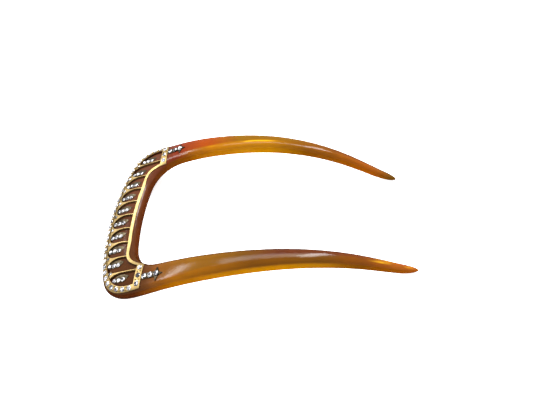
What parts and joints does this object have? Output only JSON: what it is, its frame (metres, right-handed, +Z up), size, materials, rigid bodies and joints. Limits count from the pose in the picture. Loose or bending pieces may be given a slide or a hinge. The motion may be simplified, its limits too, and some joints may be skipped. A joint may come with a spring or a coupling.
{
  "type": "decorative hair comb",
  "caption": "Two-prong U-shaped hair comb, arched lengthwise, with a gold arcade and small cut stones let into the front of its crest.",
  "frame": {"origin": "middle of the comb's footprint, on the surface it lies on", "axes": "+X from the crest to the prong tips, +Y across the width, +Z up out of the domed front"},
  "size_m": [0.119, 0.0692, 0.0217],
  "materials": {
    "tortoiseshell": "polished, translucent",
    "gold": "satin",
    "silver": "darkened",
    "cut_stone": "faceted"
  },
  "bodies": {
    "root": {"band_pins": "gold", "border_band": "gold", "border_stones": "cut_stone", "divider_1": "gold", "divider_2": "gold", "divider_3": "gold", "divider_4": "gold", "divider_5": "gold", "divider_6": "gold", "divider_7": "gold", "divider_8": "gold", "divider_9": "gold", "divider_pins": "gold", "end_bar_left": "gold", "end_bar_pins": "gold", "end_bar_right": "gold", "end_bar_stones_left": "cut_stone", "end_bar_stones_right": "cut_stone", "inner_rim_line": "gold", "petal_mount_1": "silver", "petal_mount_10": "silver", "petal_mount_2": "silver", "petal_mount_3": "silver", "petal_mount_4": "silver", "petal_mount_5": "silver", "petal_mount_6": "silver", "petal_mount_7": "silver", "petal_mount_8": "silver", "petal_mount_9": "silver", "petal_stones_1": "cut_stone", "petal_stones_10": "cut_stone", "petal_stones_2": "cut_stone", "petal_stones_3": "cut_stone", "petal_stones_4": "cut_stone", "petal_stones_5": "cut_stone", "petal_stones_6": "cut_stone", "petal_stones_7": "cut_stone", "petal_stones_8": "cut_stone", "petal_stones_9": "cut_stone", "rim_pins": "gold", "shell_frame": "tortoiseshell", "spandrel_stones": "cut_stone", "trail_mount_left": "silver", "trail_mount_right": "silver", "trail_stones_left": "cut_stone", "trail_stones_right": "cut_stone"}
  },
  "joints": []
}
